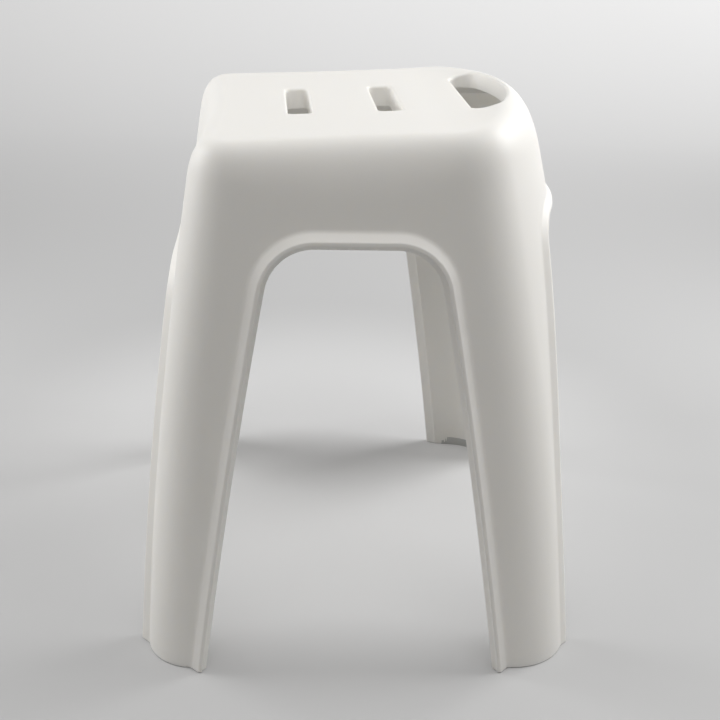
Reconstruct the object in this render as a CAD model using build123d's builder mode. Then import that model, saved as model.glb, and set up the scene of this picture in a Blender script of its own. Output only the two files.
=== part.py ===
"""Tall bath stool: one thin-walled moulding that stands on four soft anti-slip soles.

The moulding is a seat with a skirt and four splayed, hollow legs, open below. Each
side has an arch between two legs, and a flared lip runs round every arch. The seat
has two drain slots and a hand hole at its upturned rear end.

Frame: origin on the floor under the middle of the stool, +X to the rear of the seat,
+Y to the sitter's right, +Z up. Millimetres.
"""
import os

from build123d import *

# Outer form at the floor, at the waist and at a crown above the seat. Half widths run along Y.
# Corners are the points where the sides would meet if they had no rounding.
waist_level = 200.0
crown_rise = 35.1
foot_half_width = 186.5
waist_half_width = 164.9
crown_half_width = 136.0
foot_front_corner = -166.6
waist_front_corner = -153.6
crown_front_corner = -126.5
foot_front_middle = -162.6
waist_front_middle = -149.6
crown_front_middle = -116.0
foot_rear_corner = 167.8
waist_rear_corner = 119.2
crown_rear_corner = 69.0
foot_rear_middle = 173.3
waist_rear_middle = 173.0
crown_rear_middle = 116.5
foot_front_radius = 36.0
waist_front_radius = 34.0
crown_front_radius = 29.5
foot_rear_radius = 48.0
waist_rear_radius = 66.0
crown_rear_radius = 54.0

# Seat: straight slope up to the rear, then an upturned rear end
seat_height = 404.9
seat_slope = 2.78
upturn_start = 48.7
upturn_radius = 173.0
upturn_sweep = 40.0
seat_edge_radius = 20.5
wall = 3.0

# Arches, measured to the crest of their lips. A drop runs from the seat's height to the arch.
side_arch_drop = 70.2
side_arch_rear_foot = 109.2
side_arch_front_foot = -123.3
side_arch_rear_top = 46.4
side_arch_front_top = -76.3
side_arch_radius = 38.0
front_arch_drop = 102.2
front_arch_half_foot = 148.0
front_arch_half_top = 100.0
front_arch_radius = 32.5
rear_arch_drop = 67.4
rear_arch_half_foot = 151.6
rear_arch_half_top = 91.0
rear_arch_radius = 24.0
arch_bow = 2.6

# Lip: width of its flare, height of its crest, and width and drop of its return
lip_flare = 7.0
lip_height = 6.0
rear_lip_height = 3.2
lip_return = 3.8
lip_drop = 5.2
lip_crest = 1.8
lip_hollow = 0.9
lip_root = 1.5
lip_edge = 1.8
lip_step = 0.4
lip_lift = 0.5
lip_station_spacing = 25.0

# Drain slots and hand hole, with collars that hang below the seat
slot_width = 18.2
slot_length = 96.0
slot_radius = 4.0
front_slot_place = -51.0
rear_slot_place = 17.0
slot_collar_depth = 16.5
hand_hole_front = 76.3
hand_hole_shoulder = 96.0
hand_hole_rear = 109.5
hand_hole_half_length = 63.0
hand_hole_radius = 9.0
hand_collar_depth = 6.5
collar_wall = 2.5
hole_edge_radius = 1.8
hole_cut_length = 100.0

# Ribs under the seat
rib_depth = 11.0
rib_thickness = 2.2
long_rib_place = 76.0
front_cross_rib_place = -90.0
rear_cross_rib_place = -17.0

# Soles: soft strips clipped into a rebate inside each leg end
sole_thickness = 1.0
sole_cheek_height = 8.0
sole_cheek_thickness = 1.4
sole_bead_height = 1.6
sole_bead_depth = 0.5
sole_setback = 0.4
sole_clearance = 0.05
sole_end_gap = 2.0

# Cosine of the steepest slope that still counts as seat top, and the distance
# within which an edge counts as lying on the outer skin
flat_enough = 0.9
skin_tolerance = 0.01

# Heights that follow the seat
crown_level = seat_height + crown_rise
side_arch_height = seat_height - side_arch_drop
front_arch_height = seat_height - front_arch_drop
rear_arch_height = seat_height - rear_arch_drop

# A length that reaches past the stool on every side
reach = 2 * foot_half_width + 2 * crown_level

form_levels = [
    (0.0, foot_half_width, foot_front_corner, foot_front_middle, foot_rear_corner,
     foot_rear_middle, foot_front_radius, foot_rear_radius),
    (waist_level, waist_half_width, waist_front_corner, waist_front_middle, waist_rear_corner,
     waist_rear_middle, waist_front_radius, waist_rear_radius),
    (crown_level, crown_half_width, crown_front_corner, crown_front_middle, crown_rear_corner,
     crown_rear_middle, crown_front_radius, crown_rear_radius),
]
seat_plane = Plane((0, 0, seat_height)).rotated((0, -seat_slope, 0))

# Heights of the soles' parts and the places where they stop short of the lips
cheek_top = sole_thickness + sole_cheek_height
bead_middle = sole_thickness + sole_cheek_height / 2
bead_low = bead_middle - sole_bead_height / 2
bead_high = bead_middle + sole_bead_height / 2
sole_margin = lip_flare + lip_root + sole_end_gap
front_sole_corner = (side_arch_front_foot - sole_margin, -front_arch_half_foot - sole_margin)
rear_sole_corner = (side_arch_rear_foot + sole_margin, -rear_arch_half_foot - sole_margin)


def seat_profile(depth):
    """Everything below the seat top, lowered by a depth, as one block across the stool."""
    side = Plane(seat_plane.origin, x_dir=seat_plane.x_dir, z_dir=(0, -1, 0))
    with BuildPart() as profile:
        with BuildSketch(side):
            with BuildLine():
                slope = Line((-reach, -depth), (upturn_start, -depth))
                upturn = CenterArc((upturn_start, upturn_radius), upturn_radius + depth, -90, upturn_sweep)
                rear_end = (reach, (upturn @ 1).Y)
                Polyline(upturn @ 1, rear_end, (reach, -reach), (-reach, -reach), slope @ 0)
            make_face()
        extrude(amount=reach, both=True)
    return profile.part


def block(inset):
    """The stool's walls carried past the seat, as a solid block, moved inwards by the inset."""
    with BuildPart() as walls:
        for level, half, front, front_middle, rear, rear_middle, front_radius, rear_radius in form_levels:
            with BuildSketch(Plane.XY.offset(level)) as section:
                with BuildLine():
                    Line((front, -half), (rear, -half))
                    ThreePointArc((rear, -half), (rear_middle, 0), (rear, half))
                    Line((rear, half), (front, half))
                    ThreePointArc((front, half), (front_middle, 0), (front, -half))
                make_face()
                fillet(section.vertices().group_by(Axis.X)[0], front_radius)
                fillet(section.vertices().group_by(Axis.X)[-1], rear_radius)
                if inset:
                    offset(amount=-inset, mode=Mode.REPLACE)
        loft()
    return walls.part


def stool_form(inset):
    """The stool as a solid block with its rounded seat edge, moved inwards by the inset."""
    with BuildPart() as form:
        add(block(inset))
        add(seat_profile(inset), mode=Mode.INTERSECT)
        tops = form.faces().filter_by(lambda face: face.normal_at().Z > flat_enough)
        fillet(tops.edges().filter_by(Axis.Y, reverse=True), seat_edge_radius - inset)
    return form.part


def arch_curve(first_foot, first_top, second_top, second_foot, height, radius):
    """Crest line of an arch, drawn flat from the floor, over the top and down again."""
    with BuildLine() as curve:
        SagittaArc((first_foot, 0), (first_top, height), -arch_bow)
        Line((first_top, height), (second_top, height))
        SagittaArc((second_top, height), (second_foot, 0), -arch_bow)
        fillet(curve.vertices().group_by(Axis.Y)[-1], radius)
    return curve.wire()


def arch_opening(curve, plane, both_ways):
    """Block that cuts an arch through the walls, out to the middle of its lip's flare."""
    with BuildPart() as opening:
        with BuildSketch(plane):
            with BuildLine():
                add(curve)
                Line(curve @ 1, curve @ 0)
            make_face()
            offset(amount=lip_flare / 2, mode=Mode.REPLACE)
        extrude(amount=reach, both=both_ways)
    return opening.part


def arch_lip(curve, plane, height):
    """Lip along an arch: sections at even spacing, each square to the outer wall."""
    path = plane.from_local_coords(curve)
    outward = plane.z_dir
    count = round(path.length / lip_station_spacing)
    spacing = path.length / count
    frames = []
    for station in range(count + 1):
        point = path @ (station / count)
        tangent = path % (station / count)
        start = point + outward * reach + Vector(0, 0, lip_lift)
        wall_point, normal = outer.find_intersection_points(Axis(start, -outward))[0]
        along = (tangent - outward * (tangent.dot(normal) / outward.dot(normal))).normalized()
        frames.append(Plane(wall_point, x_dir=normal.cross(along), z_dir=along))
    frames = [frames[0].offset(-spacing)] + frames + [frames[-1].offset(spacing)]
    root = -lip_flare - lip_root
    inside = lip_step - wall
    edge = Vector(lip_return, height - lip_drop)
    with BuildPart() as lip:
        for frame in frames:
            with BuildSketch(frame):
                with BuildLine():
                    flare = SagittaArc((root, -lip_root), (-lip_crest, height - lip_crest / 4), -lip_hollow)
                    crest = ThreePointArc(flare @ 1, (0, height), (lip_crest, height - lip_crest / 2))
                    Polyline(crest @ 1, edge, edge - (lip_edge, lip_edge / 2), (-lip_flare / 2, inside),
                             (root, inside), flare @ 0)
                make_face()
        loft()
    return lip.part


def on_skin(edges):
    """Those edges that lie on the outer skin."""
    return edges.filter_by(lambda edge: skin.distance_to(edge @ 0.5) < skin_tolerance)


def block_slice(inset, low, high):
    """The part of the block between two heights."""
    with BuildPart() as piece:
        add(block(inset))
        split(bisect_by=Plane.XY.offset(high), keep=Keep.BOTTOM)
        if low > 0:
            split(bisect_by=Plane.XY.offset(low), keep=Keep.TOP)
    return piece.part


def corner_zone(corner, growth):
    """Column round the left leg that lies outwards of a corner point, larger by the growth."""
    side = 1 if corner[0] > 0 else -1
    with BuildPart() as zone:
        with BuildSketch():
            with Locations((corner[0] - side * growth, corner[1] + growth)):
                Rectangle(reach, reach, align=(Align.MIN if side > 0 else Align.MAX, Align.MAX))
        extrude(amount=reach)
    return zone.part


def sole(corner):
    """Soft sole of a left leg: strip under the wall end, with a beaded cheek behind the wall."""
    cheek_inset = wall - sole_cheek_thickness + sole_clearance
    with BuildPart() as strip:
        add(block_slice(sole_setback, 0, sole_thickness))
        add(block_slice(cheek_inset, sole_thickness, cheek_top))
        add(block_slice(cheek_inset - sole_bead_depth, bead_low, bead_high))
        add(block_slice(wall, 0, crown_level), mode=Mode.SUBTRACT)
        add(corner_zone(corner, 0), mode=Mode.INTERSECT)
    return strip.part


def sole_rebate(corner):
    """Space in a left leg end for the cheek of its sole, with the groove for the bead."""
    cheek_inset = wall - sole_cheek_thickness
    with BuildPart() as rebate:
        add(block_slice(cheek_inset, 0, cheek_top + sole_clearance))
        add(block_slice(cheek_inset - sole_bead_depth, bead_low - sole_clearance,
                        bead_high + sole_clearance))
        add(corner_zone(corner, sole_clearance), mode=Mode.INTERSECT)
    return rebate.part


os.makedirs("parts", exist_ok=True)

outer = stool_form(0)
inner = stool_form(wall)
middle = stool_form(wall / 2)
skin = outer.shell()

# Crest lines of the arches, drawn on planes that face outwards
left_side = Plane.XZ
rear_side = Plane.YZ
front_side = Plane(origin=(0, 0, 0), x_dir=(0, -1, 0), z_dir=(-1, 0, 0))
side_curve = arch_curve(side_arch_rear_foot, side_arch_rear_top, side_arch_front_top, side_arch_front_foot,
                        side_arch_height, side_arch_radius)
front_curve = arch_curve(front_arch_half_foot, front_arch_half_top, -front_arch_half_top,
                         -front_arch_half_foot, front_arch_height, front_arch_radius)
rear_curve = arch_curve(rear_arch_half_foot, rear_arch_half_top, -rear_arch_half_top,
                        -rear_arch_half_foot, rear_arch_height, rear_arch_radius)

# Drain slots and hand hole, as they lie on the seat
with BuildSketch(seat_plane) as slots:
    with Locations((front_slot_place, 0), (rear_slot_place, 0)):
        RectangleRounded(slot_width, slot_length, slot_radius)
with BuildSketch(seat_plane) as hand_hole:
    with BuildLine():
        rear_edge = ThreePointArc((hand_hole_shoulder, hand_hole_half_length), (hand_hole_rear, 0),
                                  (hand_hole_shoulder, -hand_hole_half_length))
        Polyline(rear_edge @ 1, (hand_hole_front, -hand_hole_half_length),
                 (hand_hole_front, hand_hole_half_length), rear_edge @ 0)
    make_face()
    fillet(hand_hole.vertices(), hand_hole_radius)

# Collars and ribs below the seat, cut to the inside of the walls
with BuildPart() as underside:
    with BuildSketch(seat_plane.offset(-slot_collar_depth)):
        add(slots.sketch_local)
        offset(amount=collar_wall, mode=Mode.REPLACE)
    extrude(amount=slot_collar_depth)
    with BuildSketch(seat_plane.offset(-hand_collar_depth)):
        add(hand_hole.sketch_local)
        offset(amount=collar_wall, mode=Mode.REPLACE)
    extrude(amount=hole_cut_length)
    with BuildSketch(seat_plane.offset(-wall - rib_depth)):
        with Locations((0, -long_rib_place), (0, long_rib_place)):
            Rectangle(reach, rib_thickness)
        with Locations((front_cross_rib_place, 0), (rear_cross_rib_place, 0)):
            Rectangle(rib_thickness, 2 * long_rib_place)
    extrude(amount=rib_depth + wall)
    add(middle, mode=Mode.INTERSECT)

with BuildPart() as stool_body:
    add(outer)
    add(inner, mode=Mode.SUBTRACT)
    add(arch_opening(side_curve, left_side, True), mode=Mode.SUBTRACT)
    add(arch_opening(front_curve, front_side, False), mode=Mode.SUBTRACT)
    add(arch_opening(rear_curve, rear_side, False), mode=Mode.SUBTRACT)
    side_lip = arch_lip(side_curve, left_side, lip_height)
    add(side_lip)
    add(side_lip.mirror(Plane.XZ))
    add(arch_lip(front_curve, front_side, lip_height))
    add(arch_lip(rear_curve, rear_side, rear_lip_height))
    split(bisect_by=Plane.XY.offset(sole_thickness), keep=Keep.TOP)
    add(underside.part)
    extrude(to_extrude=slots.sketch, amount=hole_cut_length, both=True, mode=Mode.SUBTRACT)
    fillet(on_skin(stool_body.edges(Select.LAST)), hole_edge_radius)
    extrude(to_extrude=hand_hole.sketch, amount=hole_cut_length, both=True, mode=Mode.SUBTRACT)
    fillet(on_skin(stool_body.edges(Select.LAST)), hole_edge_radius)
    for corner in (front_sole_corner, rear_sole_corner):
        rebate = sole_rebate(corner)
        add(rebate, mode=Mode.SUBTRACT)
        add(rebate.mirror(Plane.XZ), mode=Mode.SUBTRACT)
stool_body.part.label = "stool_body"
export_step(stool_body.part, "parts/stool_body.step")

# One soft sole in each leg end
with BuildPart() as foot_sole_front_left:
    add(sole(front_sole_corner))
foot_sole_front_left.part.label = "foot_sole_front_left"
export_step(foot_sole_front_left.part, "parts/foot_sole_front_left.step")

with BuildPart() as foot_sole_front_right:
    add(sole(front_sole_corner).mirror(Plane.XZ))
foot_sole_front_right.part.label = "foot_sole_front_right"
export_step(foot_sole_front_right.part, "parts/foot_sole_front_right.step")

with BuildPart() as foot_sole_rear_left:
    add(sole(rear_sole_corner))
foot_sole_rear_left.part.label = "foot_sole_rear_left"
export_step(foot_sole_rear_left.part, "parts/foot_sole_rear_left.step")

with BuildPart() as foot_sole_rear_right:
    add(sole(rear_sole_corner).mirror(Plane.XZ))
foot_sole_rear_right.part.label = "foot_sole_rear_right"
export_step(foot_sole_rear_right.part, "parts/foot_sole_rear_right.step")
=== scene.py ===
"""Tall bath stool, dressed for its photograph.

The body's mesh is worked out in millimetres in the CAD frame: origin on the floor under
the middle of the stool, +X to the rear of the seat, +Y to the sitter's right, +Z up.
"""
from functools import lru_cache
from math import asin, ceil, cos, hypot, pi, radians, sin, sqrt, tan

import bmesh
import bpy
import numpy as np
from mathutils import Matrix, Vector
from mathutils.geometry import delaunay_2d_cdt


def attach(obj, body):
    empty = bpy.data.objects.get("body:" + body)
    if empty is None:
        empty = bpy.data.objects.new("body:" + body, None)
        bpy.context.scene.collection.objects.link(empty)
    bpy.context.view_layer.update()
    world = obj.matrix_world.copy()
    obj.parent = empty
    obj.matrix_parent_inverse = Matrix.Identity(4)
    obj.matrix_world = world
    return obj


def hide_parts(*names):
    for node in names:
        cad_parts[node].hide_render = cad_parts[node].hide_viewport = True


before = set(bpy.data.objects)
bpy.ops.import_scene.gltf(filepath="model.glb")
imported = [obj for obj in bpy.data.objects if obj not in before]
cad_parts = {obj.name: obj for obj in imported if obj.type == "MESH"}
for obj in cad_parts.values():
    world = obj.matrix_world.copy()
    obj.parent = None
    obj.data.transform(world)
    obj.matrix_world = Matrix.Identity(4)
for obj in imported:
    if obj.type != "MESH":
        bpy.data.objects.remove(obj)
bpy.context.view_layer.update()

# The stool body is one injection moulding in white polypropylene: seat, skirt and four hollow
# legs, 3 mm thick and open below. Its outer form is drawn at the floor, the waist and the crown,
# and the sections between them follow a smooth curve.
mm = 0.001
floor_gap = 1.0
waist_level = 200.0
crown_level = 440.0
half_width = (186.5, 164.9, 136.0)
front_corner = (-166.6, -153.6, -126.5)
front_middle = (-162.6, -149.6, -116.0)
front_radius = (36.0, 34.0, 29.5)
rear_corner = (167.8, 119.2, 69.0)
rear_middle = (173.3, 173.0, 116.5)
rear_radius = (48.0, 56.0, 45.0)
wall = 3.0
normal_step = 0.05


def at_level(values, z):
    """A size at a height, from its values at the floor, the waist and the crown."""
    floor, waist, crown = values
    return (floor * (z - waist_level) * (z - crown_level) / (waist_level * crown_level)
            + waist * z * (z - crown_level) / (waist_level * (waist_level - crown_level))
            + crown * z * (z - waist_level) / (crown_level * (crown_level - waist_level)))


@lru_cache(maxsize=None)
def end_wall(z, rear):
    """Arc of the front or rear wall at a height, and the rounding that joins it to the sides."""
    corner, middle, radius = (rear_corner, rear_middle, rear_radius) if rear else (
        front_corner, front_middle, front_radius)
    half = at_level(half_width, z)
    rounding = at_level(radius, z)
    sagitta = at_level(middle, z) - at_level(corner, z)
    arc = (half ** 2 + sagitta ** 2) / (2 * sagitta)
    centre = at_level(middle, z) - arc
    side = 1 if rear else -1
    span = arc - side * rounding
    rounding_y = half - rounding
    rounding_x = centre + sqrt(span ** 2 - rounding_y ** 2)
    return side, centre, arc, rounding, rounding_x, rounding_y, rounding_y * arc / span


def end_x(y, z, rear):
    """Place of the front or rear wall at one point across the stool."""
    side, centre, arc, rounding, rounding_x, rounding_y, touch = end_wall(z, rear)
    if abs(y) <= touch:
        return centre + sqrt(arc ** 2 - y ** 2)
    return rounding_x + side * sqrt(max(rounding ** 2 - (abs(y) - rounding_y) ** 2, 0.0))


def side_y(x, z):
    """Half width of the stool at one point along it."""
    for rear in (False, True):
        side, _, _, rounding, rounding_x, rounding_y, _ = end_wall(z, rear)
        if side * (x - rounding_x) > 0:
            return rounding_y + sqrt(max(rounding ** 2 - (x - rounding_x) ** 2, 0.0))
    return at_level(half_width, z)


def corner_line(z, rear):
    """Middle of a leg's rounded corner at a height."""
    side, _, _, rounding, rounding_x, rounding_y, _ = end_wall(z, rear)
    return rounding_x + side * rounding * sqrt(0.5), rounding_y + rounding * sqrt(0.5)


def left_wall(place, z):
    """Point of the left wall; the other three walls have functions of the same form."""
    return np.array((place, -side_y(place, z), z))


def right_wall(place, z):
    return np.array((place, side_y(place, z), z))


def front_wall(place, z):
    return np.array((end_x(place, z, False), place, z))


def rear_wall(place, z):
    return np.array((end_x(place, z, True), place, z))


def side_limits(z):
    """Places where a side wall ends at a height, at the middles of its two leg corners."""
    return corner_line(z, True)[0], corner_line(z, False)[0]


def front_limits(z):
    return corner_line(z, False)[1], -corner_line(z, False)[1]


def rear_limits(z):
    return corner_line(z, True)[1], -corner_line(z, True)[1]


def outward(wall_shape, place, z):
    """Unit normal of a wall, pointing out of the stool."""
    across = wall_shape(place + normal_step, z) - wall_shape(place - normal_step, z)
    up = wall_shape(place, z + normal_step) - wall_shape(place, z - normal_step)
    normal = np.cross(across, up)
    normal /= np.linalg.norm(normal)
    point = wall_shape(place, z)
    return normal if normal[0] * point[0] + normal[1] * point[1] > 0 else -normal


# The seat is the top of the same moulding. It slopes up to the rear, where its end turns up. A
# rolled edge joins it to the walls, wider along the middle of each side than at the corners.
seat_height = 404.9
seat_slope = radians(2.78)
upturn_start = 48.7
upturn_radius = 173.0
seat_edge_radius = 16.5
seat_edge_tail = 9.0
seat_edge_swell = 7.0
seat_tail_swell = 12.0
edge_search = (330.0, 430.0)
search_limit = 1e-6


def to_seat(point):
    """A point in the seat's own frame: along the slope, across, and above the slope."""
    x, y, z = point
    return np.array((x * cos(seat_slope) + (z - seat_height) * sin(seat_slope), y,
                     (z - seat_height) * cos(seat_slope) - x * sin(seat_slope)))


def from_seat(x, y, h):
    """A point of the seat's own frame, back in the stool's."""
    return np.array((x * cos(seat_slope) - h * sin(seat_slope), y,
                     seat_height + x * sin(seat_slope) + h * cos(seat_slope)))


def seat_rise(x, depth):
    """Height of the seat, or of a surface some depth below it, above the straight slope."""
    if x <= upturn_start:
        return -depth
    return upturn_radius - sqrt((upturn_radius + depth) ** 2 - (x - upturn_start) ** 2)


def seat_depth(point):
    """How far a point lies below the seat, and the seat's normal above it."""
    x, _, h = to_seat(point)
    if x <= upturn_start:
        return -h, from_seat(0, 0, 1) - from_seat(0, 0, 0)
    along, up = upturn_start - x, upturn_radius - h
    distance = hypot(along, up)
    return distance - upturn_radius, (from_seat(along, 0, up) - from_seat(0, 0, 0)) / distance


def edge_column(wall_shape, limits, share):
    """Rolled seat edge over one point of a wall: where it leaves the wall, and its section.

    The section is a quarter round that runs out into the wall along a tail. It is a Bezier curve
    with four controls, each a point and the outward normal there.
    """
    def at(z):
        first, last = limits(z)
        place = first + (last - first) * share
        normal = outward(wall_shape, place, z)
        return place, normal, wall_shape(place, z)

    radius = seat_edge_radius + seat_edge_swell * sin(pi * share)
    low, high = edge_search
    while high - low > search_limit:
        z = (low + high) / 2
        _, normal, point = at(z)
        if seat_depth(point - normal * radius)[0] > radius:
            low = z
        else:
            high = z
    _, normal, point = at(low)
    # The controls of a Bezier arc lie 4/3 tan(angle / 4) radii from its ends
    centre = point - normal * radius
    top = seat_depth(centre)[1]
    reach = radius * 4 / 3 * tan(np.arccos(normal @ top) / 4)
    up = top - normal * (normal @ top)
    out = normal - top * (normal @ top)
    tail_level = low - seat_edge_tail - seat_tail_swell * sin(pi * share)
    place, tail_normal, tail = at(tail_level)
    controls = [(tail, tail_normal), (point + up / np.linalg.norm(up) * reach, normal),
                (centre + top * radius + out / np.linalg.norm(out) * reach, top),
                (centre + top * radius, top)]
    return (place, tail_level), controls


def edge_point(controls, depth, share):
    """Point of a rolled edge's section, or of its inside at a depth."""
    first, second, third, last = [point - normal * depth for point, normal in controls]
    if depth:
        shrink = 1 - depth / seat_edge_radius
        third = last + (controls[2][0] - controls[3][0]) * shrink
    rest = 1 - share
    return (first * rest ** 3 + second * 3 * rest ** 2 * share + third * 3 * rest * share ** 2
            + last * share ** 3)


# The arches are U-shaped openings in the four walls, wider at the floor, with rounded top corners.
# A lip flares out round each and stiffens the thin wall. An arch's heights and places run to the
# crest of its lip.
side_arch = dict(first_foot=109.2, first_top=46.4, last_top=-76.3, last_foot=-123.3,
                 height=334.7, radius=38.0)
front_arch = dict(first_foot=148.0, first_top=100.0, last_top=-100.0, last_foot=-148.0,
                  height=302.7, radius=32.5)
rear_arch = dict(first_foot=151.6, first_top=91.0, last_top=-91.0, last_foot=-151.6,
                 height=337.5, radius=24.0)
lip_height = 6.2
rear_lip_height = 3.3
arch_bow = 2.6
lip_flare = 7.6
lip_crest = 1.5
lip_return = 4.6
lip_drop = 5.2
lip_step = 2.2
lip_step_lean = 0.3
lip_root = 13.0
lip_edge = 1.8
lip_radii = (5.0, 1.7, 0.9, 0.4)
lip_point_step = 0.6
arch_point_step = 0.5
least_turn_steps = 4
leg_steps = 44
top_steps = 40
panel_steps = 14
squaring_steps = 8


def turned(first, second, share):
    """Unit vector part of the way from one direction to another."""
    angle = np.arccos(np.clip(first @ second, -1, 1))
    return (first * sin((1 - share) * angle) + second * sin(share * angle)) / sin(angle)


def rounded(points, radii, step):
    """Points along a line with rounded corners."""
    points = [np.array(point, float) for point in points]
    line = [points[0]]
    for before, corner, after, radius in zip(points, points[1:], points[2:], radii):
        back = (before - corner) / np.linalg.norm(before - corner)
        ahead = (after - corner) / np.linalg.norm(after - corner)
        half = np.arccos(np.clip(back @ ahead, -1, 1)) / 2
        centre = corner + (back + ahead) / np.linalg.norm(back + ahead) * radius / sin(half)
        first = corner + back * radius / tan(half) - centre
        last = corner + ahead * radius / tan(half) - centre
        count = max(int(ceil(radius * (pi - 2 * half) / step)), least_turn_steps)
        line += [centre + radius * turned(first / radius, last / radius, i / count)
                 for i in range(count + 1)]
    return np.array(line + [points[-1]])


def evenly(line, count):
    """A line divided into steps of even length."""
    lengths = np.concatenate([[0], np.cumsum(np.linalg.norm(np.diff(line, axis=0), axis=1))])
    stops = np.linspace(0, lengths[-1], count + 1)
    return np.column_stack([np.interp(stops, lengths, column) for column in line.T])


def arch_stations(first_foot, first_top, last_top, last_foot, height, radius):
    """Points along the crest of an arch's lip, and at each the direction away from the opening."""
    share = floor_gap / height
    feet = [(foot + (top - foot) * share, floor_gap) for foot, top in
            ((first_foot, first_top), (last_foot, last_top))]
    tops = [(first_top, height), (last_top, height)]
    line = rounded([feet[0], tops[0], tops[1], feet[1]], [radius, radius], arch_point_step)
    turns = [int(np.argmin(np.linalg.norm(line - np.array(top), axis=1))) for top in tops]
    line = np.vstack([evenly(line[:turns[0] + 1], leg_steps)[:-1],
                      evenly(line[turns[0]:turns[1] + 1], top_steps)[:-1],
                      evenly(line[turns[1]:], leg_steps)])
    level = line[:, 1] / height
    outside = np.sign(line[:, 0] - (first_top + last_top) / 2)
    line[:, 0] += outside * arch_bow * 4 * level * (1 - level)
    tangent = np.gradient(line, axis=0)
    tangent /= np.linalg.norm(tangent, axis=1)[:, None]
    away = np.column_stack([tangent[:, 1], -tangent[:, 0]])
    # Near the floor the direction turns level, so that the legs end flat
    last = len(line) - 1
    for station in range(last + 1):
        square = min(min(station, last - station) / squaring_steps, 1.0)
        level_away = np.array((1 / away[station, 0], 0.0)) if square < 1 else away[station]
        away[station] = level_away + (away[station] - level_away) * square
    return line, away


def lip_outline(height):
    """Section of a lip, outside and inside: distance from the crest, and height above the wall."""
    edge = (-lip_return, height - lip_drop)
    step = (-lip_crest - lip_step_lean, height - lip_step)
    outside = rounded([(lip_root, 0), (lip_flare, 0), (lip_crest, height), (-lip_crest, height),
                       step, edge], lip_radii, lip_point_step)
    heel = (edge[0] + lip_edge, edge[1] - lip_edge / 2)
    inside = [heel, (lip_flare / 4, (heel[1] - wall) / 2), (lip_flare / 2, -wall),
              (lip_root, -wall)]
    return outside, np.array(inside)


points = []
faces = []


def add_row(row):
    """Adds points to the mesh and returns their numbers."""
    points.extend(tuple(point) for point in row)
    return list(range(len(points) - len(row), len(points)))


def add_grid(rows):
    """Joins rows of points with four-sided faces."""
    for row, other in zip(rows, rows[1:]):
        faces.extend((row[i], row[i + 1], other[i + 1], other[i]) for i in range(len(row) - 1))


def add_panel(wall_shape, limits, arch, height):
    """One side of the stool with its lip, from its arch out to the leg corners and the seat edge."""
    line, away = arch_stations(**arch)
    outside, inside = lip_outline(height)
    columns = [edge_column(wall_shape, limits, i / top_steps) for i in range(top_steps + 1)]
    rows = []
    for station, (crest, direction) in enumerate(zip(line, away)):
        if leg_steps <= station <= leg_steps + top_steps:
            rim = np.array(columns[station - leg_steps][0])
        else:
            on_first = station < leg_steps
            climb = (station if on_first else len(line) - 1 - station) / leg_steps
            z = floor_gap + (columns[0 if on_first else -1][0][1] - floor_gap) * climb
            rim = np.array((limits(z)[0 if on_first else 1], z))
        root = crest + direction * lip_root
        spread = [(rim + (root - rim) * i / panel_steps, 0.0) for i in range(panel_steps)]
        chain = spread + [(crest + direction * d, h) for d, h in outside]
        chain += [(crest + direction * d, h) for d, h in inside]
        chain += [(place, -wall) for place, _ in reversed(spread)]
        row = np.array([wall_shape(*place) + outward(wall_shape, *place) * h
                        for place, h in chain])
        if station in (0, len(line) - 1):
            row[:, 2] = floor_gap
        rows.append(add_row(row))
    add_grid(rows)
    for row in (rows[0], rows[-1]):
        faces.extend((row[i], row[i + 1], row[-2 - i], row[-1 - i]) for i in range(panel_steps))
        faces.append(row[panel_steps:len(row) - panel_steps])
    return columns


left_columns = add_panel(left_wall, side_limits, side_arch, lip_height)
right_columns = add_panel(right_wall, side_limits, side_arch, lip_height)
front_columns = add_panel(front_wall, front_limits, front_arch, lip_height)
rear_columns = add_panel(rear_wall, rear_limits, rear_arch, rear_lip_height)
edge_columns = (left_columns[:-1] + front_columns[:0:-1]
                + right_columns[:0:-1] + rear_columns[:-1])

# The drain slots and the hand hole go straight through the seat. Each has a rounded rim and a
# collar, moulded on, that hangs below the seat and keeps the edge of the opening stiff.
slot_width = 18.2
slot_length = 96.0
slot_radius = 4.0
slot_places = (-51.0, 17.0)
slot_collar = 16.5
hand_front = 76.3
hand_shoulder = 96.0
hand_rear = 109.5
hand_half_length = 63.0
hand_radius = 9.0
bulge_steps = 24
bulge_trim = 4
hand_collar = 6.5
collar_wall = 2.5
rim_radius = 2.2
rim_steps = 6
edge_steps = 16
hole_step = 2.0
sheet_step = 6.0
edge_clearance = 1.5
least_area = 0.01


def closed_outline(corners, radius):
    """Closed line with every corner rounded, counter-clockwise."""
    start = (np.array(corners[0]) + np.array(corners[-1])) / 2
    line = rounded([start] + list(corners) + [start], [radius] * len(corners), hole_step)
    length = np.linalg.norm(np.diff(line, axis=0), axis=1).sum()
    return evenly(line, int(round(length / hole_step)))[:-1]


def loop_normals(loop):
    """Directions out of a counter-clockwise loop."""
    tangent = np.roll(loop, -1, axis=0) - np.roll(loop, 1, axis=0)
    tangent /= np.linalg.norm(tangent, axis=1)[:, None]
    return np.column_stack([tangent[:, 1], -tangent[:, 0]])


def grown(loop, amount):
    """A loop moved outwards by some amount."""
    return loop + loop_normals(loop) * amount


def inside_loop(spots, loop):
    """Which of the spots lie inside a closed loop."""
    spots = np.atleast_2d(spots)
    x, y = spots[:, 0:1], spots[:, 1:2]
    ahead = np.roll(loop, -1, axis=0)
    crosses = (loop[:, 1] > y) != (ahead[:, 1] > y)
    rise = np.where(ahead[:, 1] == loop[:, 1], 1.0, ahead[:, 1] - loop[:, 1])
    at = loop[:, 0] + (y - loop[:, 1]) * (ahead[:, 0] - loop[:, 0]) / rise
    return (crosses & (x < at)).sum(axis=1) % 2 == 1


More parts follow.
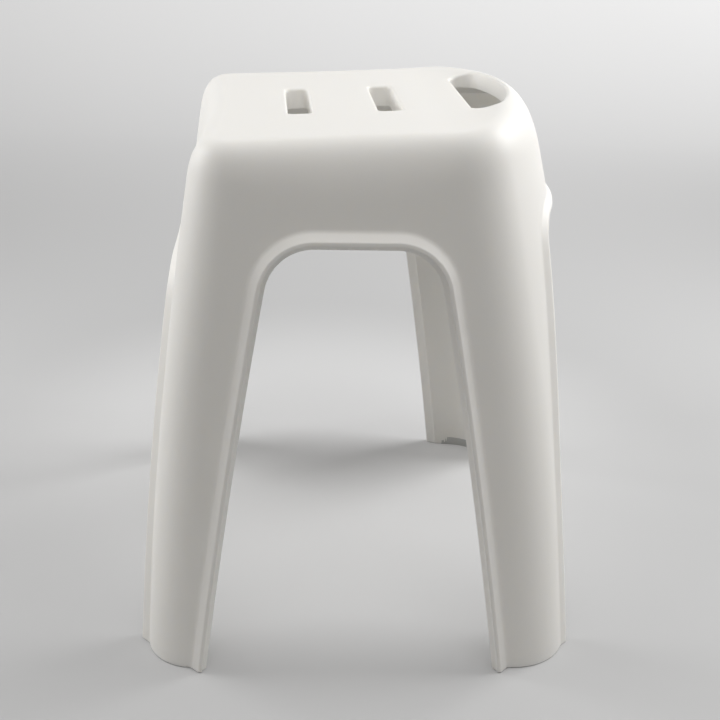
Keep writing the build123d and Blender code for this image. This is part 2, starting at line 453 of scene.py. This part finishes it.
def triangles(loops, extra):
    """Triangles between the first loop and the holes that the other loops make in it."""
    spots = np.vstack(loops + [extra]) if len(extra) else np.vstack(loops)
    borders = []
    start = 0
    for loop in loops:
        borders += [(start + i, start + (i + 1) % len(loop)) for i in range(len(loop))]
        start += len(loop)
    flat = [Vector(spot) for spot in spots]
    _, _, found, origins, _, _ = delaunay_2d_cdt(flat, borders, [], 0, search_limit)
    cells = [[origins[i][0] for i in cell] for cell in found]
    cells = [cell for cell in cells
             if abs(np.cross(*(spots[cell[1:]] - spots[cell[0]]))) > least_area]
    middles = np.array([spots[cell].mean(axis=0) for cell in cells])
    keep = inside_loop(middles, loops[0])
    for loop in loops[1:]:
        keep &= ~inside_loop(middles, loop)
    return [cell for cell, kept in zip(cells, keep) if kept]


def slot_outline(place):
    """Outline of the drain slot at one place along the seat."""
    front, rear = place - slot_width / 2, place + slot_width / 2
    half = slot_length / 2
    return closed_outline([(rear, -half), (rear, half), (front, half), (front, -half)], slot_radius)


slot_loops = [slot_outline(place) for place in slot_places]
hand_bulge = hand_rear - hand_shoulder
hand_arc = (hand_half_length ** 2 + hand_bulge ** 2) / (2 * hand_bulge)
bulge_turn = asin(hand_half_length / hand_arc)
hand_edge = [(hand_rear - hand_arc + hand_arc * cos(turn), hand_arc * sin(turn))
             for turn in np.linspace(-bulge_turn, bulge_turn, bulge_steps + 1)]
hand_start = rounded([(hand_front, 0), (hand_front, -hand_half_length), hand_edge[0],
                      hand_edge[bulge_trim]], [hand_radius, hand_radius], hole_step)
hand_end = rounded([hand_edge[-1 - bulge_trim], hand_edge[-1], (hand_front, hand_half_length),
                    (hand_front, 0)], [hand_radius, hand_radius], hole_step)
hand_line = np.vstack([hand_start, hand_edge[bulge_trim + 1:-1 - bulge_trim], hand_end])
hand_length = np.linalg.norm(np.diff(hand_line, axis=0), axis=1).sum()
hand_loop = evenly(hand_line, int(round(hand_length / hole_step)))[:-1]


def add_crown(depth, growth):
    """Rolled edge and seat, or their undersides at a depth, with openings grown by some amount."""
    hand = grown(hand_loop, growth)
    ends = []
    cut = []
    rings = [[] for _ in range(edge_steps + 1)]
    for _, controls in edge_columns:
        stop = 1.0
        crosses = bool(inside_loop(to_seat(edge_point(controls, depth, 1.0))[:2], hand)[0])
        if crosses:
            low = 0.0
            while stop - low > search_limit:
                middle = (low + stop) / 2
                if inside_loop(to_seat(edge_point(controls, depth, middle))[:2], hand)[0]:
                    stop = middle
                else:
                    low = middle
        for i, ring in enumerate(rings):
            ring.append(edge_point(controls, depth, stop * i / edge_steps))
        ends.append(to_seat(ring[-1]))
        cut.append(crosses)
    rows = [add_row(ring + ring[:1]) for ring in rings]
    add_grid(rows)
    ends = np.array(ends)
    cut = np.array(cut)
    # Seat sheet: its border follows the rolled edge and dips round the front of the hand hole
    tangent_loop = np.array([to_seat(edge_point(controls, depth, 1.0))[:2]
                             for _, controls in edge_columns])
    next_x, next_y = np.roll(tangent_loop, -1, axis=0).T
    if np.sum(tangent_loop[:, 0] * next_y - tangent_loop[:, 1] * next_x) < 0:
        tangent_loop = tangent_loop[::-1]
        ends = ends[::-1]
        cut = cut[::-1]
    first = int(np.flatnonzero(cut & ~np.roll(cut, 1))[0])
    ends = np.roll(ends, -first, axis=0)
    cut = np.roll(cut, -first)
    behind = ends[cut]
    clear = inside_loop(hand, grown(tangent_loop, -edge_clearance))
    start = int(np.flatnonzero(clear & ~np.roll(clear, 1))[0])
    front = np.roll(hand, -start, axis=0)[np.roll(clear, -start)]
    front = [(x, y, seat_rise(x, depth)) for x, y in front]
    border = np.vstack([ends[~cut], behind[:1], front[::-1], behind[-1:]])
    hand_rim = np.vstack([behind, front])
    slot_rims = [np.array([(x, y, seat_rise(x, depth)) for x, y in grown(loop, growth)])
                 for loop in slot_loops]
    low, high = border[:, :2].min(axis=0), border[:, :2].max(axis=0)
    spots = np.array([(x, y) for x in np.arange(low[0], high[0], sheet_step)
                      for y in np.arange(low[1], high[1], sheet_step)])
    keep = inside_loop(spots, border[:, :2])
    for rim in slot_rims:
        keep &= ~inside_loop(spots, rim[:, :2])
    edges = np.vstack([border] + slot_rims)[:, :2]
    keep &= np.array([np.min(np.hypot(*(edges - spot).T)) > sheet_step / 2 for spot in spots])
    extra = spots[keep]
    loops = [border] + slot_rims
    sheet = np.vstack(loops + [[(x, y, seat_rise(x, depth)) for x, y in extra]])
    numbers = add_row([from_seat(*spot) for spot in sheet])
    cells = triangles([loop[:, :2] for loop in loops], extra)
    faces.extend(tuple(numbers[i] for i in cell) for cell in cells)
    return slot_rims + [hand_rim]


top_rims = add_crown(0.0, rim_radius)
under_rims = add_crown(wall, collar_wall)
collars = (slot_collar, slot_collar, hand_collar)
for top_rim, under_rim, collar in zip(top_rims, under_rims, collars):
    normals = loop_normals(top_rim[:, :2])
    rows = []
    for i in range(rim_steps + 1):
        turn = pi / 2 * i / rim_steps
        spots = top_rim[:, :2] - normals * rim_radius * sin(turn)
        heights = top_rim[:, 2] - rim_radius * (1 - cos(turn))
        rows.append(np.column_stack([spots, heights]))
    foot = np.column_stack([rows[-1][:, :2], np.full(len(top_rim), -collar)])
    rows.append(foot)
    outer_foot = np.column_stack([under_rim[:, :2], np.full(len(under_rim), -collar)])
    for skirt in (rows, (under_rim, outer_foot)):
        closed = [np.vstack([row, row[:1]]) for row in skirt]
        add_grid([add_row([from_seat(*spot) for spot in row]) for row in closed])
    numbers = add_row([from_seat(*spot) for spot in np.vstack([outer_foot, foot])])
    cells = triangles([outer_foot[:, :2], foot[:, :2]], [])
    faces.extend(tuple(numbers[i] for i in cell) for cell in cells)

# The ribs are thin blades that stiffen the seat from below, two along it and two across it between
# them. They are moulded with it, and a hairline here keeps their faces apart from the seat's.
rib_depth = 11.0
rib_thickness = 2.2
rib_gap = 0.05
long_rib_place = 76.0
cross_rib_places = (-90.0, -17.0)
rib_steps = 36
rib_foot = -wall - rib_depth
rib_top = wall + rib_gap


def add_blade(outline, to_point):
    """Flat blade: an outline carried through the rib's thickness."""
    near, far = [add_row([to_point(*spot, offset) for spot in outline])
                 for offset in (-rib_thickness / 2, rib_thickness / 2)]
    add_grid([near + near[:1], far + far[:1]])
    faces.extend((near, far))


def under_edge(place, at_rear):
    """Underside of the rolled edge at one place across the seat, from the ribs' foot to the seat."""
    line = []
    for share in np.linspace(0, 1, rib_steps):
        ring = np.array([edge_point(controls, rib_top, share) for _, controls in edge_columns])
        ring = ring[(ring[:, 0] > 0) == at_rear]
        ring = ring[np.argsort(ring[:, 1])]
        x, z = [np.interp(place, ring[:, 1], ring[:, axis]) for axis in (0, 2)]
        spot = to_seat(np.array((x, place, z)))
        line.append((spot[0], spot[2]))
    foot = np.interp(rib_foot, [h for _, h in line], [x for x, _ in line])
    return [(foot, rib_foot)] + [(x, h) for x, h in line if h > rib_foot]


for place in (-long_rib_place, long_rib_place):
    front, rear = [under_edge(place, at_rear) for at_rear in (False, True)]
    between = np.linspace(front[-1][0], rear[-1][0], rib_steps)[1:-1]
    outline = front + [(x, seat_rise(x, rib_top)) for x in between] + rear[::-1]
    add_blade(outline, lambda x, h, offset: from_seat(x, place + offset, h))
for place in cross_rib_places:
    outline = [(-long_rib_place, rib_foot), (long_rib_place, rib_foot),
               (long_rib_place, -rib_top), (-long_rib_place, -rib_top)]
    add_blade(outline, lambda y, h, offset: from_seat(place + offset, y, h))

# The panels, the crown and the collars are welded into one closed skin, and the ribs lie in the same
# mesh. The plastic is satin and slightly translucent, with a fine grain from the mould.
weld_distance = 0.02
sharp_angle = radians(38)
plastic_dull = (0.865, 0.85, 0.815, 1)
plastic_bright = (0.885, 0.87, 0.835, 1)
plastic_roughness = 0.44
cloud_scale = 9.0
cloud_roughness = 0.06
grain_scale = 900.0
grain_roughness = 0.04
grain_strength = 0.08
grain_depth = 0.3 * mm
plastic_index = 1.49
plastic_sheen = 0.3
glow_share = 0.35
glow_reach = (1.0, 0.95, 0.85)
glow_depth = 3 * mm
mesh = bpy.data.meshes.new("stool_moulding")
mesh.from_pydata([tuple(c * mm for c in point) for point in points], [],
                 [tuple(face) for face in faces])
shell = bmesh.new()
shell.from_mesh(mesh)
bmesh.ops.remove_doubles(shell, verts=shell.verts, dist=weld_distance * mm)
bmesh.ops.recalc_face_normals(shell, faces=shell.faces)
for face in shell.faces:
    face.smooth = True
shell.to_mesh(mesh)
shell.free()
mesh.set_sharp_from_angle(angle=sharp_angle)
moulding = bpy.data.objects.new("stool_moulding", mesh)
bpy.context.collection.objects.link(moulding)
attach(moulding, "root")
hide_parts("stool_body")


class Socket:
    """A shader value: operators on it add Math nodes to its tree."""

    def __init__(self, tree, socket):
        self.tree = tree
        self.socket = socket

    def node(self, kind, settings=None, output=0, **inputs):
        """Adds a node with its settings and the values or links of its sockets.

        A socket goes by its name, or by i and its number where names repeat.
        """
        node = self.tree.nodes.new(kind)
        for name, value in (settings or {}).items():
            setattr(node, name, value)
        for name, value in inputs.items():
            numbered = name[0] == "i" and name[1:].isdigit()
            place = int(name[1:]) if numbered else name.replace("_", " ")
            if isinstance(value, Socket):
                self.tree.links.new(value.socket, node.inputs[place])
            else:
                node.inputs[place].default_value = value
        return Socket(self.tree, node.outputs[output])

    def maths(self, operation, first, second):
        return self.node("ShaderNodeMath", {"operation": operation}, i0=first, i1=second)

    def __add__(self, other):
        return self.maths("ADD", self, other)

    __radd__ = __add__

    def __mul__(self, other):
        return self.maths("MULTIPLY", self, other)

    __rmul__ = __mul__


def new_material(name):
    """New material, with a starting point for its nodes and the shader that shows it."""
    material = bpy.data.materials.new(name)
    material.use_nodes = True
    tree = material.node_tree
    tree.nodes.clear()
    shader = tree.nodes.new("ShaderNodeBsdfPrincipled")
    output = tree.nodes.new("ShaderNodeOutputMaterial")
    tree.links.new(shader.outputs["BSDF"], output.inputs["Surface"])
    return material, Socket(tree, None), shader


def feed(start, shader, **values):
    """Sets or links a shader's inputs by name."""
    for name, value in values.items():
        place = shader.inputs[name.replace("_", " ")]
        if isinstance(value, Socket):
            start.tree.links.new(value.socket, place)
        else:
            place.default_value = value


plastic, start, shader = new_material("white_polypropylene")
spot = start.node("ShaderNodeTexCoord", output="Object")
cloud = start.node("ShaderNodeTexNoise", Vector=spot, Scale=cloud_scale, Detail=3.0)
grain = start.node("ShaderNodeTexNoise", Vector=spot, Scale=grain_scale, Detail=2.0)
tint = start.node("ShaderNodeMix", {"data_type": "RGBA"}, output=2, i0=cloud,
                  i6=plastic_dull, i7=plastic_bright)
bump = start.node("ShaderNodeBump", Strength=grain_strength, Distance=grain_depth, Height=grain)
feed(start, shader, Base_Color=tint, Normal=bump,
     Roughness=plastic_roughness + cloud_roughness * cloud + grain_roughness * grain,
     IOR=plastic_index, Specular_IOR_Level=plastic_sheen,
     Subsurface_Weight=glow_share, Subsurface_Radius=glow_reach, Subsurface_Scale=glow_depth)
mesh.materials.append(plastic)

# The four soles are soft rubber strips that clip into the leg ends, lift the lips off the floor
# and keep the stool from slipping. Their shapes are the CAD solids, dressed in a matt grey.
rubber_dark = (0.5, 0.5, 0.485, 1)
rubber_pale = (0.58, 0.58, 0.565, 1)
rubber_roughness = 0.7
speckle_scale = 600.0
speckle_roughness = 0.1
rubber, start, shader = new_material("sole_rubber")
spot = start.node("ShaderNodeTexCoord", output="Object")
speckle = start.node("ShaderNodeTexNoise", Vector=spot, Scale=speckle_scale, Detail=3.0)
tint = start.node("ShaderNodeMix", {"data_type": "RGBA"}, output=2, i0=speckle,
                  i6=rubber_dark, i7=rubber_pale)
feed(start, shader, Base_Color=tint, Roughness=rubber_roughness + speckle_roughness * speckle)
for end in ("front", "rear"):
    for side in ("left", "right"):
        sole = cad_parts[f"foot_sole_{end}_{side}"]
        sole.data.materials.clear()
        sole.data.materials.append(rubber)

# The studio is a pale paper sweep that runs from the floor up into a backdrop, in metres. A painted
# pool of light makes the paper lighter under the stool, and a painted glow, which lights nothing and
# shows only to the camera and in reflections, lightens it a little everywhere and more to the back.
sweep_width = 6.0
sweep_front = -2.5
sweep_rear = 1.6
sweep_bend = 0.9
sweep_height = 3.0
bend_steps = 24
# Painted pool of light on the paper under the stool: its middle, where it starts to fade, where it
# ends, and the paper's lighter tone inside it.
painted_light_pool_middle = (0.0, 0.2, 0.0)
painted_light_pool_inner = 0.15
painted_light_pool_outer = 0.42
painted_light_pool_tone = 0.62
paper_shade = 0.45
paper_roughness = 0.6
paper_sheen = 0.2
mottle_scale = 1.5
mottle_shade = 0.03
# Painted glow on the paper, seen only by the camera and in reflections: where it starts and stops
# rising towards the back, its most, the least it has everywhere, and how much more it gets towards +X.
painted_glow_start = 0.25
painted_glow_end = 2.2
painted_glow_most = 0.56
painted_glow_least = 0.06
painted_glow_lean = 0.2
bend = [(sweep_rear + sweep_bend * sin(turn), sweep_bend * (1 - cos(turn)))
        for turn in np.linspace(0, pi / 2, bend_steps + 1)]
profile = [(sweep_front, 0.0)] + bend + [(sweep_rear + sweep_bend, sweep_height)]
corners = [(x, y, z) for y, z in profile for x in (-sweep_width / 2, sweep_width / 2)]
strips = [(2 * i, 2 * i + 1, 2 * i + 3, 2 * i + 2) for i in range(len(profile) - 1)]
sweep_mesh = bpy.data.meshes.new("studio_sweep")
sweep_mesh.from_pydata(corners, [], strips)
for face in sweep_mesh.polygons:
    face.use_smooth = True
sweep = bpy.data.objects.new("studio_sweep", sweep_mesh)
bpy.context.collection.objects.link(sweep)


def in_view(start):
    """One for the rays that show a surface, zero for those that light it."""
    return (start.node("ShaderNodeLightPath", output="Is Camera Ray")
            + start.node("ShaderNodeLightPath", output="Is Glossy Ray")
            + start.node("ShaderNodeLightPath", output="Is Transmission Ray"))


paper, start, shader = new_material("studio_paper")
spot = start.node("ShaderNodeTexCoord", output="Object")
mottle = start.node("ShaderNodeTexNoise", Vector=spot, Scale=mottle_scale, Detail=2.0)
across = start.node("ShaderNodeSeparateXYZ", output="X", Vector=spot)
back = start.node("ShaderNodeSeparateXYZ", output="Y", Vector=spot)
reach = start.node("ShaderNodeVectorMath", {"operation": "DISTANCE"}, output="Value",
                   i0=spot, i1=painted_light_pool_middle)
# Painted pool of light: the paper's tone is lighter within reach of the stool's middle.
painted_light_pool = start.node("ShaderNodeMapRange", {"interpolation_type": "SMOOTHSTEP"}, i0=reach,
                  i1=painted_light_pool_inner, i2=painted_light_pool_outer, i3=painted_light_pool_tone, i4=paper_shade)
paper_tone_with_painted_pool = painted_light_pool + mottle_shade * mottle
tint = start.node("ShaderNodeCombineColor", i0=paper_tone_with_painted_pool, i1=paper_tone_with_painted_pool, i2=paper_tone_with_painted_pool)
# Painted glow: emission on the paper for camera and reflected rays only, rising towards the back and
# leaning towards +X.
painted_glow_rising = start.node("ShaderNodeMapRange", i0=back, i1=painted_glow_start, i2=painted_glow_end,
                    i3=0.0, i4=painted_glow_most)
painted_glow_lift = (painted_glow_least + painted_glow_rising * (1.0 + painted_glow_lean * across)) * in_view(start)
painted_backdrop_glow = start.node("ShaderNodeCombineColor", i0=painted_glow_lift, i1=painted_glow_lift, i2=painted_glow_lift)
feed(start, shader, Base_Color=tint, Roughness=paper_roughness, Specular_IOR_Level=paper_sheen,
     Emission_Color=painted_backdrop_glow, Emission_Strength=1.0)
sweep_mesh.materials.append(paper)

# Three soft lamps light the stool: a large one high up on the camera's side, and a smaller one at each
# end. The air adds a faint even light, and looks pale where the paper ends.
stool_middle = Vector((0.0, 0.0, 0.25))
air_tint = (1.0, 0.96, 0.92, 1)
air_light = 0.1
air_lift = 0.5


def softbox(name, place, width, height, power):
    """Soft rectangular lamp that faces the middle of the stool."""
    lamp = bpy.data.lights.new(name, "AREA")
    lamp.shape = "RECTANGLE"
    lamp.size = width
    lamp.size_y = height
    lamp.energy = power
    holder = bpy.data.objects.new(name, lamp)
    holder.location = place
    holder.rotation_euler = (stool_middle - Vector(place)).to_track_quat("-Z", "Y").to_euler()
    bpy.context.collection.objects.link(holder)


softbox("top_softbox", place=(0.0, -0.6, 1.85), width=2.0, height=2.0, power=18.0)
softbox("left_softbox", place=(-0.85, 0.12, 0.6), width=0.6, height=0.5, power=4.9)
softbox("right_softbox", place=(0.92, 0.2, 0.85), width=0.7, height=0.6, power=9.6)
world = bpy.data.worlds.new("studio_air")
bpy.context.scene.world = world
world.use_nodes = True
air = Socket(world.node_tree, None)
background = world.node_tree.nodes["Background"]
feed(air, background, Color=air_tint, Strength=air_light + air_lift * in_view(air))

# The camera stands on the stool's left side, a little above the seat, and looks down at it through
# a slightly long lens that is shifted sideways.
lens = 57.5
sensor = 36.0
eye = Vector((-0.0862, -0.9052, 0.5842))
pitch = radians(24.08)
yaw = radians(2.14)
roll = radians(1.38)
sideways_shift = 0.0972
ahead = Vector((sin(yaw) * cos(pitch), cos(yaw) * cos(pitch), -sin(pitch)))
level = Vector((cos(yaw), -sin(yaw), 0))
up = level.cross(ahead)
right = level * cos(roll) + up * sin(roll)
above = up * cos(roll) - level * sin(roll)
camera_data = bpy.data.cameras.new("camera")
camera_data.lens = lens
camera_data.sensor_width = sensor
camera_data.shift_x = sideways_shift
camera = bpy.data.objects.new("camera", camera_data)
camera.matrix_world = Matrix((right, above, -ahead)).transposed().to_4x4()
camera.location = eye
bpy.context.collection.objects.link(camera)
bpy.context.scene.camera = camera
bpy.context.scene.view_settings.view_transform = "Standard"
